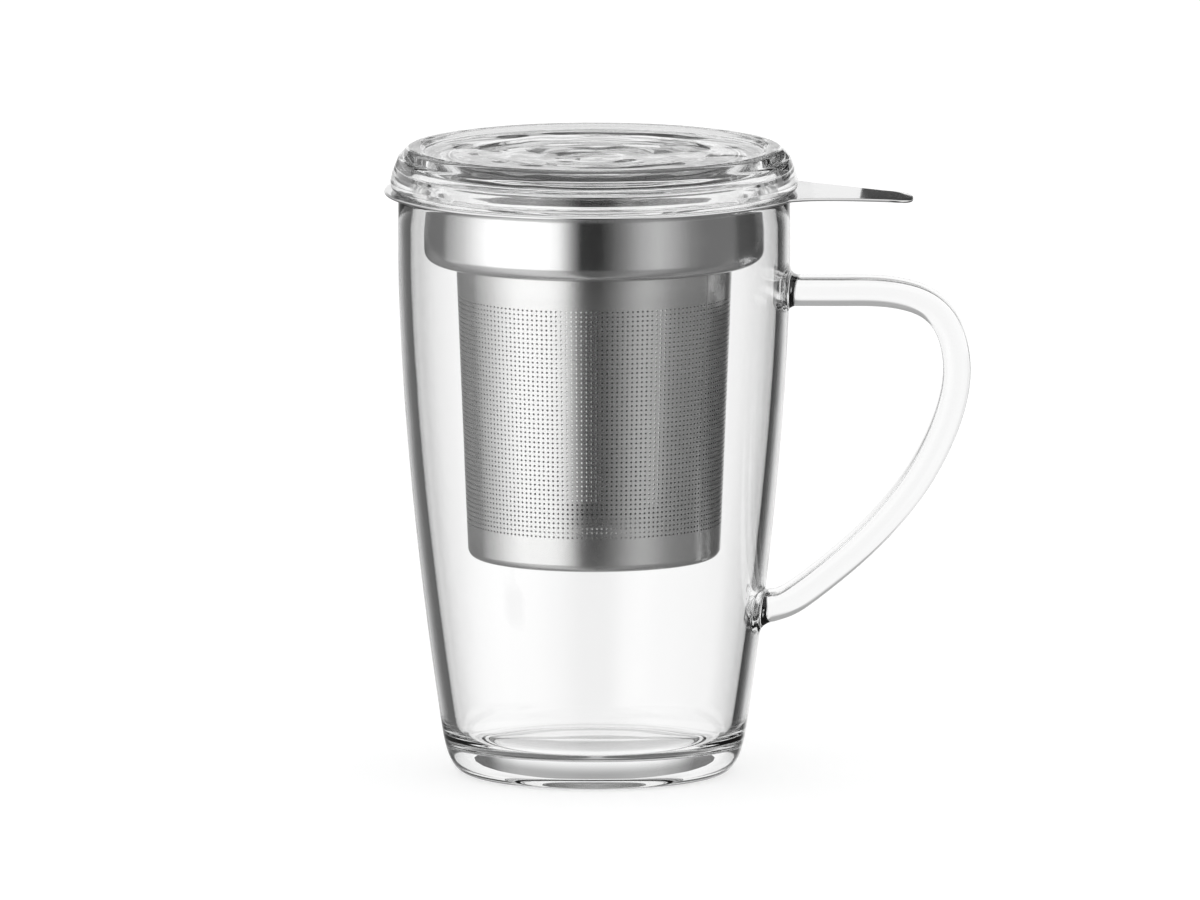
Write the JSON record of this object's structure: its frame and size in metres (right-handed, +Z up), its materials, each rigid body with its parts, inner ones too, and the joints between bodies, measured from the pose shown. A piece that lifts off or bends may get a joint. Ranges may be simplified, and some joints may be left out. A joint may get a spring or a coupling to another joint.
{
  "type": "lidded glass tea mug with infuser",
  "caption": "Tall tapered glass mug with a fused loop handle, a hanging perforated steel infuser with a side grip tab, and a loose pressed-glass lid.",
  "frame": {"origin": "centre of the mug's base, on the surface it stands on", "axes": "+Z up along the mug's axis; +X towards the handle and the infuser's grip tab; +Y to the back"},
  "size_m": [0.1257, 0.09, 0.1352],
  "materials": {
    "mug_glass": "clear, fire-polished",
    "lid_glass": "clear, pressed",
    "polished_steel": "bright stainless, finely brushed round the axis",
    "perforated_steel": "satin stainless sheet with a fine square grid of holes"
  },
  "bodies": {
    "mug": {"mug_body": "mug_glass", "mug_handle": "mug_glass"},
    "infuser": {"infuser_collar": "polished_steel", "basket_sleeve": "perforated_steel", "basket_base": "perforated_steel"},
    "lid": {"lid": "lid_glass"}
  },
  "joints": [
    {"name": "infuser_lift", "type": "slide", "parent": "mug", "child": "infuser", "axis": [0, 0, 1], "range_m": [0, 0.095]},
    {"name": "lid_lift", "type": "slide", "parent": "infuser", "child": "lid", "axis": [0, 0, 1], "range_m": [0, 0.05]}
  ]
}
